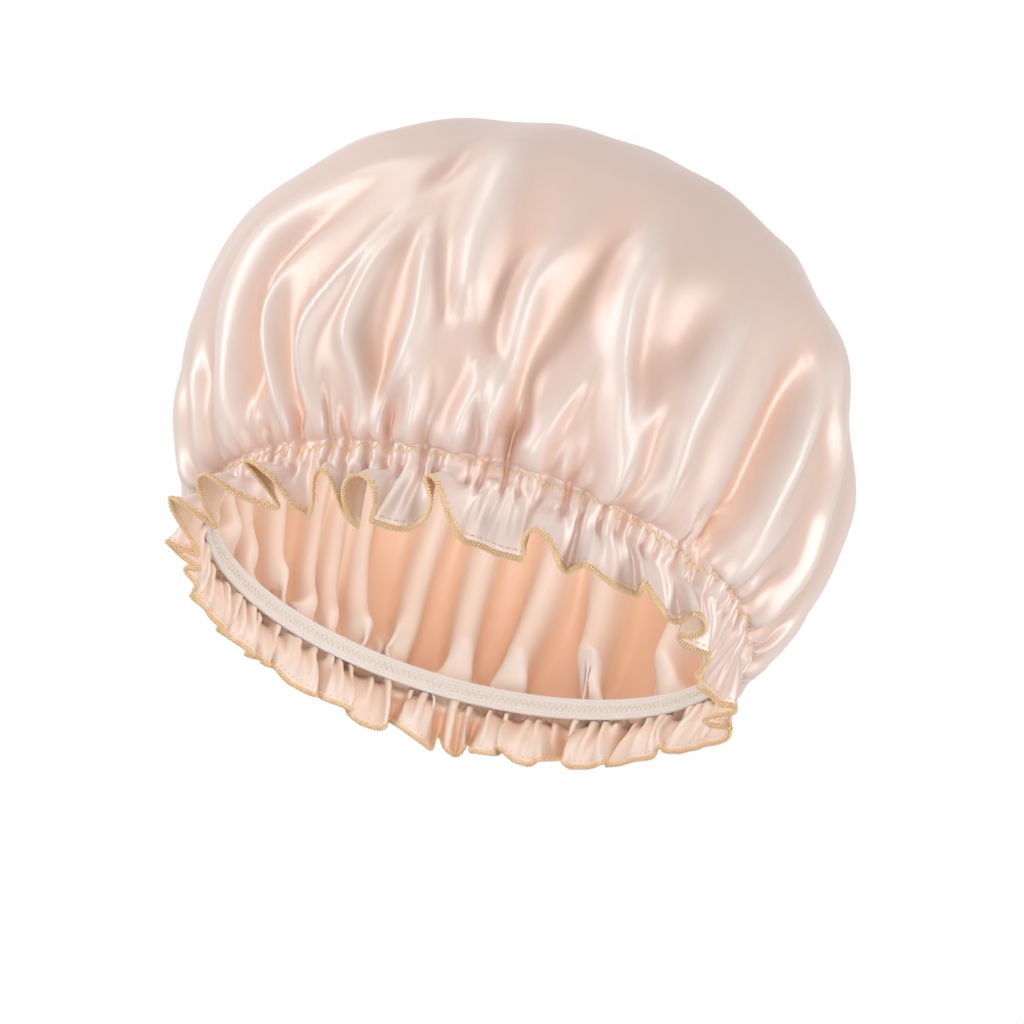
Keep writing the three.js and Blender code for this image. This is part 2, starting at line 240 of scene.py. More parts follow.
def satinMaterial(name, look, turned):
    material, add = newMaterial(name)
    uv = add("UVMap", uv_map="flatCloth")  # the flat cloth in metres
    slub = add("TexNoise", {"Scale": 1 / (satinFinish["slub"] * mm), "Detail": 2.0},
               {"Vector": uv.outputs[0]})
    depth = add("Attribute", attribute_name="foldDepth")  # -1 in the head space, 1 outside
    loose = add("Math", {1: satinFinish["slubTone"], 2: -satinFinish["slubTone"] / 2},
                {0: slub.outputs["Fac"]}, operation="MULTIPLY_ADD")
    level = add("Math", {1: -1.0 if turned else 1.0},
                {0: depth.outputs["Fac"], 2: loose.outputs[0]}, operation="MULTIPLY_ADD")
    ramp = add("MapRange", {"From Min": -1.0, "From Max": 1.0}, {"Value": level.outputs[0]})
    # painted shade and highlight: the fold depth, turned for the reverse, picks the colour from the painted
    # valley shade to the painted crest highlight
    tone = add("ValToRGB", None, {0: ramp.outputs[0]})
    stops = tone.color_ramp.elements
    stops[0].position, stops[0].color = satinFinish["valleyAt"], linear(look["valley"])
    stops[1].position, stops[1].color = satinFinish["crestAt"], linear(look["crest"])
    stops.new(look["halfWay"]).color = linear(look["middle"])
    yarns = add("TexWave", {"Scale": waveScale(satinFinish["yarn"]), "Distortion": 1.2, "Detail": 1.0,
                            "Detail Scale": 0.4},
                {"Vector": uv.outputs[0]}, wave_type="BANDS", bands_direction="X")
    weave = add("Bump", {"Strength": 0.08, "Distance": satinFinish["yarnHeight"] * mm},
                {"Height": yarns.outputs["Fac"]})
    warp = add("Tangent", direction_type="UV_MAP", uv_map="flatCloth")
    smoothest, roughest = (look["roughness"] + change for change in satinFinish["slubGloss"])
    gloss = add("MapRange", {"To Min": smoothest, "To Max": roughest}, {"Value": slub.outputs["Fac"]})
    shader = add("BsdfPrincipled",
                 {"Specular IOR Level": look["shine"], "IOR": satinFinish["index"],
                  "Anisotropic": satinFinish["anisotropy"], "Sheen Weight": 0.1, "Sheen Roughness": 0.35,
                  "Sheen Tint": linear(satinFinish["sheen"])},
                 {"Base Color": tone.outputs[0], "Roughness": gloss.outputs[0],
                  "Normal": weave.outputs[0], "Tangent": warp.outputs[0]})
    add("OutputMaterial", None, {"Surface": shader.outputs[0]})
    return material


# both materials paint shade, highlight and glow into the cloth's colour by its fold depth
satinFace = satinMaterial("polyester satin, face, painted shade and highlight", satinFinish["face"], turned=False)
satinReverse = satinMaterial("polyester satin, reverse, painted glow and shade", satinFinish["reverse"], turned=True)

# satin cloth: one disc drawn in by the elastic, crown above and ruffle below; lengths in mm
satin = {
    "stitchRadius": 91.7,
    "widest": 114.0,
    "widestHeight": 60.0,
    "height": 148.0,
    "fullness": 0.64,
    "bandHalf": 4.0,
    "lift": 24.8,  # the elastic's middle over the floor
    "ruffle": 24.0,
    "lean": (1.5, -9.0),  # how far the crown's top lies over
    "belly": -2.3,  # and its middle, to the left
    "thickness": 0.25,
    # the painted shade and painted highlight of the folds are measured against this depth
    "deep": 4.5,  # a fold this far from the middle of the cloth counts as deep
    # folds of the crown that the photograph shows: height (a valley is negative), half width, whether it runs
    # into the stitch line, then its course as read off the photograph, x and y in its pixels
    "folds": [
        (5, 8, True, [(463, 137), (414, 156), (361, 175), (316, 196), (282, 222), (258, 252), (241, 283),
                      (231, 313), (227, 351), (227, 388), (231, 426)]),
        (-4.6, 5, False, [(429, 167), (377, 184), (327, 211), (297, 237), (275, 271), (256, 309),
                          (249, 347), (254, 384), (263, 415)]),
        (4.9, 4, True, [(380, 205), (339, 216), (309, 233), (286, 258), (273, 286), (266, 324), (269, 366),
                        (280, 407)]),
        (-5.3, 7.5, True, [(354, 241), (320, 267), (295, 298), (282, 332), (284, 369), (292, 400)]),
        (5.3, 4, True, [(428, 192), (392, 224), (361, 256), (331, 290), (309, 317), (297, 347), (298, 377),
                        (307, 411)]),
        (5.3, 4, True, [(431, 199), (403, 237), (377, 267), (356, 301), (346, 332), (354, 362), (361, 392),
                        (363, 422)]),
        (-4.6, 5, False, [(331, 362), (330, 384), (335, 411)]),
        (5.6, 4.2, True, [(435, 198), (431, 241), (426, 286), (418, 324), (403, 362), (386, 396),
                          (378, 422)]),
        (-5.3, 8, True, [(411, 249), (392, 286), (377, 324), (373, 362), (373, 400)]),
        (-4.6, 6, False, [(456, 233), (448, 271), (441, 309), (426, 339)]),
        (6.8, 7.5, False, [(522, 128), (509, 162), (492, 199), (478, 241), (471, 279), (470, 313),
                           (471, 332)]),
        (-2.2, 4, False, [(492, 125), (478, 137), (463, 152), (448, 169), (431, 186), (414, 203)]),
        (5.3, 3.8, True, [(441, 316), (424, 349), (418, 378), (414, 406), (408, 443)]),
        (5.6, 3.8, True, [(461, 312), (475, 345), (480, 373), (475, 396), (461, 414), (447, 437)]),
        (4.6, 3.4, True, [(473, 316), (489, 345), (497, 373), (494, 406), (484, 435), (476, 451)]),
        (-4.5, 6.5, False, [(451, 353), (450, 378), (445, 400), (437, 422)]),
        (3.2, 2.8, True, [(400, 405), (389, 422), (384, 443)]),
        (6, 4.6, True, [(576, 225), (550, 253), (531, 281), (521, 313), (514, 345), (509, 377), (500, 404),
                        (488, 432)]),
        (-5, 9, False, [(556, 189), (532, 225), (512, 261), (500, 297), (495, 337), (497, 369),
                        (492, 392)]),
        (-5.6, 9, True, [(643, 182), (627, 225), (603, 265), (572, 305), (548, 337), (532, 369), (524, 404),
                         (518, 436)]),
        (6.3, 5.5, True, [(679, 205), (659, 233), (639, 265), (627, 297), (621, 337), (619, 377),
                          (619, 408), (616, 444), (612, 472)]),
        (5.3, 5.5, True, [(597, 325), (570, 345), (548, 373), (537, 404), (532, 436), (529, 460)]),
        (3.2, 3.4, True, [(610, 337), (584, 378), (561, 410), (543, 437), (533, 459)]),
        (-3.5, 6, False, [(595, 361), (579, 392), (568, 424), (562, 448)]),
        (-3.6, 8, False, [(671, 269), (653, 325), (641, 369), (633, 408)]),
        (3.9, 4.4, True, [(692, 373), (661, 398), (640, 427), (627, 463), (619, 484)]),
        (5.6, 6, True, [(761, 293), (737, 327), (716, 361), (698, 396), (685, 428), (675, 464)]),
        (-3, 8, False, [(727, 257), (703, 305), (683, 349), (667, 384)]),
        (-6.5, 7, True, [(810, 321), (803, 353), (794, 384), (782, 420), (767, 456), (759, 474)]),
        (4.6, 6, True, [(826, 325), (823, 369), (813, 408), (796, 448)]),
        (4.9, 3.8, True, [(212, 301), (203, 332), (199, 369), (201, 411), (207, 449)]),
        (4.2, 3.4, True, [(190, 332), (185, 369), (184, 411), (186, 449)]),
        (-4.6, 5, False, [(242, 313), (241, 351), (246, 388), (259, 422)]),
        (-3.9, 4, False, [(212, 335), (210, 369), (212, 411)]),
    ],
    # folds of its right side, mostly out of sight: the same, but each course in mm from the crown's middle
    # and degrees round the cap
    "sideFolds": [
        (4.1, 5, True, [(180, 334), (186, 331), (208, 325), (232, 324)]),
        (4.1, 4.5, True, [(197, 339), (203, 336.5), (217, 330.5), (232, 329.5)]),
        (4.6, 5, True, [(120, 325), (129, 326), (155, 327), (164, 331.5), (184, 340), (206, 341.5),
                        (232, 340.5)]),
        (4.1, 5.5, True, [(130, 356), (232, 355)]),
        (4.1, 5, True, [(120, 7), (232, 7)]),
        (4.1, 5, True, [(130, 17), (232, 17)]),
        (-4.1, 6, False, [(200, 322), (217, 321.5), (228, 320)]),
        (-4.1, 6, False, [(196, 335), (213, 334.5), (226, 334)]),
    ],
    # deep pleats of the back, which stand into the head space as tubes: strength, half their cloth, degrees
    # round the cap at the stitch line and high up
    "pleats": [
        (1.0, 19, 24, 27), (1.0, 21, 38, 46), (0.95, 24, 58, 65), (1.0, 20, 76.5, 75), (1.1, 19, 88.5, 88.5),
        (1.0, 17, 101, 99), (1.0, 14, 110, 113), (0.9, 11.5, 117.5, 117.5), (1.0, 11.5, 124, 122),
        (0.9, 14, 133, 132), (0.8, 13.5, 141, 141), (1.0, 14, 150, 149), (0.8, 14, 159, 159),
        (0.9, 15, 168, 168), (0.8, 16, 179, 180),
    ],
    "pleatBend": 1.6,  # radians at strength 1
    "pleatRuns": (150, 228),  # from the crown's middle, high up and at the stitch line
    "pleatCloth": 190,  # from the crown's middle, where the half widths are measured
    # hem of the near side, which stands out in flutes, and of the right end, as read off the photograph:
    # x and y in its pixels, degrees round the cap at the elastic
    "nearHem": [
        (203, 571, 181), (180, 556, 183), (163, 540, 185), (178, 549, 187.5), (199, 557, 191),
        (186, 532, 194.5), (170, 508, 197), (167, 496, 198.7), (180, 503, 200.5), (200, 518, 203),
        (217, 530, 205.5), (207, 512, 208), (196, 486, 210), (196, 476, 211.3), (205, 474, 212.8),
        (218, 483, 214.3), (232, 493, 215.8), (250, 501, 217.5), (268, 508, 219), (282, 510, 220.3),
        (270, 494, 221.5), (254, 474, 222.7), (242, 462, 223.8), (250, 461, 225), (262, 470, 226.2),
        (273, 480, 227.4), (283, 494, 228.7), (294, 507, 230), (309, 518, 231.7), (312, 500, 233.2),
        (313, 482, 234.4), (316, 471, 235.5), (322, 469, 236.5), (328, 474, 237.6), (333, 487, 238.7),
        (337, 501, 239.8), (343, 512, 241), (351, 523, 242.7), (361, 532, 244.2), (352, 521, 245),
        (343, 506, 245.5), (342, 488, 246), (348, 477, 246.5), (358, 474, 247), (368, 478, 247.5),
        (374, 490, 248), (374, 507, 248.5), (369, 522, 249), (366, 532, 249.6), (377, 535, 250.6),
        (391, 534, 251.9), (404, 531, 253), (415, 527, 254), (426, 519, 254.9), (432, 505, 255.5),
        (428, 490, 256), (422, 478, 256.6), (426, 473, 257.2), (434, 477, 257.9), (440, 491, 258.8),
        (446, 512, 259.9), (453, 530, 261.3), (464, 543, 264), (484, 549, 268), (498, 556, 271.2),
        (512, 562, 274), (521, 562, 275.8), (525, 552, 276.8), (521, 542, 277.5), (526, 533, 278.3),
        (535, 530, 279.2), (546, 537, 280.2), (554, 551, 281.2), (559, 566, 282.4), (566, 574, 284),
        (575, 569, 285.6), (584, 566, 287), (593, 568, 288.4), (601, 578, 290), (612, 586, 292),
        (626, 592, 294.5), (638, 597, 296.8), (642, 588, 298.2), (646, 583, 299.2), (651, 590, 300.4),
        (656, 603, 302), (664, 616, 304.5), (675, 624, 307), (684, 623, 308.6), (690, 616, 309.6),
        (698, 615, 310.6), (705, 622, 311.5), (707, 632, 312.3), (700, 638, 313.2), (688, 638, 314),
        (676, 636, 314.9), (680, 646, 316.3), (690, 654, 317.6), (701, 658, 318.8), (711, 661, 320),
    ],
    "rightHem": [
        (703, 674, 327), (690, 690, 332), (684, 711, 338), (698, 717, 341), (711, 714, 343),
        (721, 708, 344.6), (734, 707, 346.5), (735, 713, 348), (722, 717, 350), (702, 728, 353),
        (692, 737, 355), (707, 734, 357), (724, 728, 359), (732, 729, 361), (730, 738, 363),
        (714, 745, 366), (701, 748, 369), (685, 753, 374), (668, 753, 379), (661, 750, 382),
    ],
    # hem of the far side, which hangs in lobes: x and y of each lobe in the photograph
    "farHem": [
        [(657, 748), (655, 757), (632, 762), (605, 767)],
        [(600, 764), (585, 769), (570, 769), (561, 762)],
        [(538, 761), (530, 767), (513, 761), (495, 746)],
        [(497, 755), (481, 754), (469, 752)],
        [(464, 751), (456, 758), (444, 749)],
        [(432, 752), (418, 740), (398, 727)],
        [(386, 728), (380, 731), (361, 724), (348, 716)],
        [(354, 711), (343, 707), (323, 699)],
        [(318, 697), (307, 693), (290, 685), (275, 668)],
        [(271, 667), (263, 660)],
        [(256, 656), (247, 651), (233, 640)],
        [(226, 634), (215, 622), (205, 610)],
        [(199, 600), (192, 592), (196, 584)],
    ],
    # deep gaps between the lobes: from this many degrees round the cap on, how far from the axis and how high
    "hemGaps": [(382, 95.5, 7.0), (388, 99.5, 9.5), (491, 95.5, 7.0), (497, 93.0, 4.5)],
    "gapHalf": 0.6,  # degrees
    "lobeDrawn": 0.66,  # how far a lobe is drawn together at the elastic
    "lobeSpace": 3.2,  # degrees between lobes, at least
    "lobeStep": 0.7,  # and between a lobe's points
    "hangReach": (88.0, 2.0),  # a brim that hangs straight: how far from the axis and how high its edge is
    "brimReach": (19.2, 21.8),  # the least and most that the hem lies from the elastic's lower edge
    "hemLowest": 1.5,  # over the floor
    "hemShare": 0.45,  # how far the near hem goes by its own length, and not by the angles as read
    # how much of the cloth's fullness shows, by degrees round the cap
    "crownEase": [(0, 0.5), (25, 0.8), (45, 1.0), (165, 1.0), (185, 0.7), (200, 0.4), (340, 0.4)],
    # the far side, whose inside the photograph shows, is 1 here and the near side 0, by degrees round the cap
    "farSide": [(0, 0), (30, 1), (165, 1), (190, 0)],
    "wander": 0.8,  # radians that waves round the cap stray from even spacing
    "puckers": 92,  # gathers round the stitch line
    "puckerBend": 0.35,  # radians
    "brimPuckers": 150,  # fine creases that run out from the elastic into the brim
    "brimPucker": 0.42,  # their height
    "hemWaves": 61,  # slight waves along the hem
    "hemWave": 0.4,  # their height
    "lobePuff": 3.0,  # how far the far side's lobes stand towards the head
    "lobeWithin": (90, 98),  # from the axis: a hem this near is a lobe, and one this far isn't
    # the brim's painted highlight on what stands out and painted shade in the gaps between its lobes:
    "brimCrest": [(97, 92), (7, 4)],  # from the axis, where crests start and how softly: near side, far side
    # painted light on the near side of the brim:
    "brimPaintedLight": 0.9,  # how much paler the near side is
    "brimEase": (0.7, 0.18),  # its fullness at the elastic: a share of the crown's, and its own
    "brimCloth": 0.95,  # the share of its cloth that the gathers take up
    "hangSlope": 0.15,  # how far it draws in for each mm that it hangs
    "hangMost": 0.92,  # how far out it may reach for each mm of its cloth
    "lobeSharp": 0.4,  # how closely the innermost course of its gathers is followed
    # small tucks that start at the stitch line, one to a pucker, each shifted by part of one; they rise over
    # some mm, and the far side's are stronger
    "tucks": {"strength": (0.7, 1.2), "half": (2.0, 3.3), "length": (10, 34), "shift": 0.33, "rise": 20,
              "moreFar": 0.7},
    # slow uneven waves over the crown: how many round the cap, and how they slant, in radians for each mm
    "ripples": {"count": 14, "waves": (3, 17), "slant": 0.16, "height": 0.28},
    "softTurn": 7,  # the cloth turns over this much each way at the stitch line
    "tight": (3, 9),  # held to the elastic from this far above the stitch line, and let go over this much
    "sunk": 0.75,  # how far folds lie in from the crown's outline, of their depth
    "proud": 1.5,  # and out from the elastic
    "closest": 0.35,  # how far the cloth may lie inside its line at the elastic
    # how folds come and go, from where to where
    "fade": {
        # from the stitch line, upward negative
        "gathers": (0, 10), "tucks": (0, 12), "pleats": (-19, -3), "puckers": (-22, -3), "folds": (-14, 0),
        "ripples": (-50, -20), "drawnIn": (-80, -20),
        # from the crown's middle
        "easeStart": (50, 165), "pleatStart": (70, 150), "rippleStart": (25, 110),
        # from the elastic's lower edge
        "brimGathers": (0, 14), "hemCourse": (0, 9), "brimPaintedLight": (0, 8),
    },
    # rows of the mesh, finer towards the stitch line: from where on, between rows and between a row's points
    "rows": [(4, 4.0, 4.0), (112, 2.5, 2.2), (196, 2.0, 1.2)],
    "rowsClear": 1.2,  # above the stitch line
    "bandRows": 3,
    "brimRows": 11,
    "rowPoints": (12, 860),  # fewest and most
    "brimRowPoints": (12, 1300),
}
fade = satin["fade"]
fine = 6144  # points round a ring while it is worked out
fullTurn = 2 * np.pi
grid = np.arange(fine) * fullTurn / fine
chance = np.random.default_rng(7)


def smooth(a, b, x):
    u = np.clip((x - a) / (b - a), 0, 1)
    return u * u * (3 - 2 * u)


def unit(v):
    return v / (np.linalg.norm(v, axis=1, keepdims=True) + 1e-12)


def aroundFrom(angle):
    # the way round the cap from an angle, between -pi and pi
    return np.mod(grid - angle + np.pi, fullTurn) - np.pi


def spreadOut(values, degrees):
    part = np.fft.rfft(values)
    return np.fft.irfft(part * np.exp(-0.5 * (np.arange(len(part)) * np.radians(degrees)) ** 2), fine)


def roundCap(rows):
    angle, value = np.array(rows).T
    return spreadOut(np.interp(np.degrees(grid), angle, value, period=360), 5)


def ringPoint(degrees, radius, height):
    turn = np.radians(degrees)
    return np.stack([radius * np.cos(turn), radius * np.sin(turn), height + 0 * turn], -1)


def fallAndFace(ring, inner):
    # which way a ring of cloth falls from the ring above it, and its face
    forward = unit(np.roll(ring, -8, axis=0) - np.roll(ring, 8, axis=0))
    fall = unit(ring - inner)
    return fall, unit(np.cross(forward, fall))


def crownOutline():
    # from the crown's middle over its side to the elastic's lower edge: way along the cloth, radius, height
    wide, low, high, half = satin["widest"], satin["widestHeight"], satin["height"], satin["bandHalf"]
    tight, k = satin["stitchRadius"], satin["fullness"]
    u = np.linspace(0, 1, 2000)[:, None]
    corner = np.array([[0, high], [wide * k, high], [wide, low + (high - low) * k], [wide, low]])
    weights = [(1 - u) ** 3, 3 * (1 - u) ** 2 * u, 3 * (1 - u) * u ** 2, u ** 3]
    top = sum(weight * point for weight, point in zip(weights, corner))
    a = np.linspace(0, np.pi / 2, 2000)[1:]
    under = np.stack([tight + (wide - tight) * np.cos(a), low - (low - half) * np.sin(a)], 1)
    band = np.stack([np.full(200, tight), np.linspace(half, -half, 201)[1:]], 1)
    line = np.concatenate([top, under, band])
    run = np.r_[0, np.cumsum(np.hypot(*np.diff(line, axis=0).T))]
    s = np.linspace(0, run[-1], 6000)
    return s, np.interp(s, run, line[:, 0]), np.interp(s, run, line[:, 1])


def outlineNormal():
    # rounded, so that the cloth turns softly at the stitch line
    width = int(satin["softTurn"] / outlineS[1])
    kernel = np.hanning(2 * width + 1)
    kernel /= kernel.sum()
    slopes = -np.gradient(outlineZ, outlineS), np.gradient(outlineR, outlineS)
    parts = [np.convolve(np.pad(slope, width, mode="edge"), kernel, "valid") for slope in slopes]
    return parts / np.hypot(*parts)


outlineS, outlineR, outlineZ = crownOutline()
normalR, normalZ = outlineNormal()
bandFoot = outlineS[-1]
stitchAt = bandFoot - satin["bandHalf"]
hemAt = stitchAt + satin["ruffle"]


def wander(count):
    # a wave round the cap whose spacing wanders
    rows = [(n, chance.uniform(0, fullTurn), satin["wander"] / n ** 0.7) for n in range(2, 14)]
    extra = sum(a * np.sin(n * grid + p) for n, p, a in rows)
    return np.sin(count * grid + extra)


def newTuck(i):
    strength = chance.uniform(*satin["tucks"]["strength"])
    half = chance.uniform(*satin["tucks"]["half"])
    short, long = satin["tucks"]["length"]
    top = stitchAt - short - (long - short) * chance.uniform(0, 1) ** 1.6  # most are short
    shift = satin["tucks"]["shift"]
    return strength, half, top, (i + chance.uniform(-shift, shift)) * fullTurn / satin["puckers"]


def newRipple():
    slant = satin["ripples"]["slant"]
    return chance.integers(*satin["ripples"]["waves"]), chance.uniform(-slant, slant), chance.uniform(0, 6.3)


hemWave = wander(satin["hemWaves"])
puckerWave = wander(satin["puckers"])
tucks = [newTuck(i) for i in range(satin["puckers"])]
ripples = [newRipple() for _ in range(satin["ripples"]["count"])]
brimWave = wander(satin["brimPuckers"])
crownEase = roundCap(satin["crownEase"])
farSide = roundCap(satin["farSide"])


def hemPoint(x, y, degrees):
    # the point on a sight line that the brim's edge reaches from its place at the elastic
    root = ringPoint(degrees, satin["stitchRadius"], satin["lift"] - satin["bandHalf"])
    sight = sightLine(x, y)
    nearest = eye + ((root - eye) @ sight) * sight
    gap = np.linalg.norm(nearest - root)
    least, most = satin["brimReach"]
    if gap < least:
        point = nearest - sight * math.sqrt(least ** 2 - gap ** 2)
    else:
        point = root + (nearest - root) * min(1, most / gap)
    point[2] = max(point[2], satin["hemLowest"])
    return point


def nearHem():
    x, y, read = np.array(satin["nearHem"], dtype=float).T
    at = read
    share = satin["hemShare"]
    for _ in range(6):
        # the cloth is shared out partly by the angles as read and partly by the hem's own length
        steps = np.linalg.norm(np.diff([hemPoint(*row) for row in zip(x, y, at)], axis=0), axis=1)
        parts = (1 - share) * np.diff(read) / np.ptp(read) + share * steps / steps.sum()
        at = 0.5 * at + 0.5 * (read[0] + np.r_[0, np.cumsum(parts)] * np.ptp(read))
    return [(row[2], hemPoint(*row)) for row in zip(x, y, at)]


def hemGap(degrees):
    radius, height = [row[1:] for row in satin["hemGaps"] if row[0] <= degrees][-1]
    half = satin["gapHalf"]
    return [(at, ringPoint(at, radius, height)) for at in (degrees - half, degrees + half)]


def farHem():
    turns = np.arange(320, 545, 0.25)
    hanging = toPhoto(ringPoint(turns, *satin["hangReach"]))
    rows, last = [], satin["rightHem"][-1][2]
    for lobe in satin["farHem"]:
        at = np.array([turns[np.hypot(*(hanging - point).T).argmin()] for point in lobe])
        middle = (at[0] + at[-1]) / 2
        at = middle + (at - middle) * satin["lobeDrawn"]
        for k in range(1, len(at)):
            at[k] = max(at[k], at[k - 1] + satin["lobeStep"])
        at += max(0, last + satin["lobeSpace"] - at[0])
        rows += hemGap((last + at[0]) / 2) + [(t, hemPoint(*point, t)) for point, t in zip(lobe, at)]
        last = at[-1]
    return rows + hemGap((last + 360 + satin["nearHem"][0][2]) / 2)


hemRows = nearHem() + [(t, hemPoint(x, y, t)) for x, y, t in satin["rightHem"]] + farHem()
hemTurns = [turn for turn, _ in hemRows]
hemCourse = np.column_stack([spreadOut(np.interp(np.degrees(grid), hemTurns, values, period=360), 0.35)
                             for values in np.array([point for _, point in hemRows]).T])


def bump(x, w):
    return x / w * np.exp((1 - (x / w) ** 2) / 2)


def bendAngles(s):
    # how far the cloth turns aside along a ring, before it is fitted to the ring's length
    near = s - stitchAt
    above = 1 - smooth(*fade["gathers"], near)
    tuckShape = satin["tucks"]
    psi = np.zeros(fine)
    for strength, half, top, at in tucks:
        rise = smooth(top, top + tuckShape["rise"], s) * (1 - 0.9 * smooth(*fade["tucks"], near))
        if rise > 0:
            psi += rise * strength * bump(aroundFrom(at) * s, half) * (1 + tuckShape["moreFar"] * farSide)
    for strength, half, low, high in satin["pleats"]:
        rise = smooth(*fade["pleatStart"], s) * (1 - 0.8 * smooth(*fade["pleats"], near)) * above
        x = aroundFrom(np.radians(np.interp(s, satin["pleatRuns"], [high, low]))) * satin["pleatCloth"]
        bend = satin["pleatBend"] * strength * np.sin(np.pi * x / half)
        psi += np.where(np.abs(x) < half, rise * bend, 0)
    return psi + satin["puckerBend"] * smooth(*fade["puckers"], near) * above * puckerWave


def crownShift(height):
    # how far the crown lies over, at a height above the elastic
    over = np.clip(height / satin["height"], 0, 1)
    return satin["lean"][0] * over + satin["belly"] * 4 * over * (1 - over), satin["lean"][1] * over


# the crown without its folds, and where the photograph shows it
crownRuns = np.arange(10, bandFoot - 2 * satin["bandHalf"])
crownTurns = np.arange(150, 395, 0.5)
crownHeights = np.interp(crownRuns, outlineS, outlineZ)[:, None]
crownRadii = np.interp(crownRuns, outlineS, outlineR)[:, None]
plainCrown = ringPoint(crownTurns[None], crownRadii, crownHeights + satin["lift"])
plainCrown[..., 0] += crownShift(crownHeights)[0]
plainCrown[..., 1] += crownShift(crownHeights)[1]
crownSeen = toPhoto(plainCrown)
crownAway = (plainCrown - eye) @ eyeAim


def crownCourse(pixels, sewn):
    # the nearer of the crown's points that the photograph shows within a few pixels
    course = []
    for x, y in pixels:
        off = np.hypot(crownSeen[..., 0] - x, crownSeen[..., 1] - y)
        close = off < max(2.5, off.min() + 0.8)
        i, j = np.unravel_index(np.where(close, crownAway, np.inf).argmin(), off.shape)
        if not course or crownRuns[i] > course[-1][0] + 2:
            course.append((crownRuns[i], crownTurns[j]))
    if sewn and course[-1][0] < stitchAt - 3:
        course.append((stitchAt, course[-1][1]))
    return course


def foldLine(height, width, sewn, course):
    s = np.arange(course[0][0], course[-1][0] + 0.1, 1.0)
    t = np.interp(s, [c[0] for c in course], [c[1] for c in course])
    kernel = np.hanning(15)[1:-1] / np.hanning(15).sum()  # rounds the course over 6 mm each way
    t = np.convolve(np.pad(t, 6, mode="edge"), kernel, "valid")
    taper = smooth(0, 14 + 4 * width, s - s[0]) * (1 if sewn else 1 - smooth(-16, 0, s - s[-1]))
    return height, width, s, np.radians(t), taper


foldLines = [foldLine(height, width, sewn, crownCourse(pixels, sewn))
             for height, width, sewn, pixels in satin["folds"]]
foldLines += [foldLine(*row) for row in satin["sideFolds"]]


def drawFolds(s, radius):
    # every fold is a round ridge or hollow along its course, measured square to the course
    raised = np.zeros(fine)
    for height, width, lineS, lineT, taper in foldLines:
        # three half widths away it is flat
        if s < lineS[0] - 3 * width or s > lineS[-1] + 3 * width:
            continue
        close = np.abs(lineS - s) < 3 * width + 6
        if not close.any():
            close = np.abs(lineS - s) < np.abs(lineS - s).min() + 4
        middle = lineT[close].mean()
        span = np.ptp(lineT[close]) / 2 + 3.5 * width / radius + 0.01
        x = aroundFrom(middle)
        pick = np.flatnonzero(np.abs(x) < span)
        away = (x[pick][:, None] - (lineT[close] - middle)[None]) * radius
        far = np.hypot(away, (s - lineS[close])[None])
        best = far.argmin(axis=1)
        d = far[np.arange(len(pick)), best] / width
        raised[pick] += height * taper[close][best] * np.exp(-d ** 2)
    return raised


def layRing(bent, radius, cloth=None):
    # along the bent cloth: where each point comes round the cap, how far out, and how deep folds are there
    bent = bent / (1 + (bent / 2.4) ** 6) ** (1 / 6)  # no fold turns back through itself
    shown = np.maximum(spreadOut(np.cos(bent), 7), 0.25)
    along = np.cumsum(np.cos(bent) / shown)
    along *= fullTurn / along[-1]
    along -= (along - grid).mean()
    rise = np.sin(bent) * (cloth or radius / shown) * fullTurn / fine
    out = np.cumsum(rise - rise.mean())
    out -= spreadOut(out, 18)
    return along, out, np.sqrt(np.maximum(spreadOut(out ** 2, 10), 0))


def gatherRing(s, radius, ease):
    # bends the cloth until it takes up the length that the smaller ring has too little of
    psi = bendAngles(s)
    share = 1 - ease * (1 - min(1, radius / s))
    local = np.full(fine, 0.8)
    for _ in range(26):
        taken = 1 - spreadOut(np.cos(local * psi), 7)
        local = np.clip(local * np.clip((1 - share + 0.004) / (taken + 0.004), 0.5, 2.0) ** 0.4, 0.05, 1.9)
        local = spreadOut(local, 4)
    return local * psi


def crownRing(s):
    radius = max(np.interp(s, outlineS, outlineR), 0.01)
    height = np.interp(s, outlineS, outlineZ)
    near = s - stitchAt
    start, over = satin["tight"]
    tight = np.exp(-(min(0, near + start) / over) ** 2)  # 1 at the stitch line
    along, out, depth = layRing(gatherRing(s, radius, crownEase * smooth(*fade["easeStart"], s)), radius)
    raised = drawFolds(s, radius) * (1 - 0.7 * smooth(*fade["folds"], near))
    # painted shade and highlight: how far the cloth stands in or out in its fold, and the drawn ridges and
    # hollows, set how deep peach or how pale it is painted
    deep = np.arctanh(0.999 * np.tanh(out / satin["deep"])) + (raised - spreadOut(raised, 6)) / satin["deep"]
    ripple = sum(np.sin(n * grid + m * s + p) for n, m, p in ripples) * satin["ripples"]["height"]
    out = out + ripple * smooth(*fade["rippleStart"], s) * (1 - smooth(*fade["ripples"], near))
    # the folds lie within the crown's outline, and outside the elastic at the stitch line
    out = out - (1 - tight) * satin["sunk"] * depth + tight * satin["proud"] * depth
    out = out + raised - smooth(*fade["drawnIn"], near) * (1 - tight)
    if tight > 0.05:
        out = np.maximum(out, -satin["closest"] - 30 * (1 - tight))
    reach = radius + out * np.interp(s, outlineS, normalR)
    shiftX, shiftY = crownShift(height)
    ring = np.column_stack([reach * np.cos(along) + shiftX, reach * np.sin(along) + shiftY,
                            height + out * np.interp(s, outlineS, normalZ) + satin["lift"]])
    return ring, np.tanh(deep)


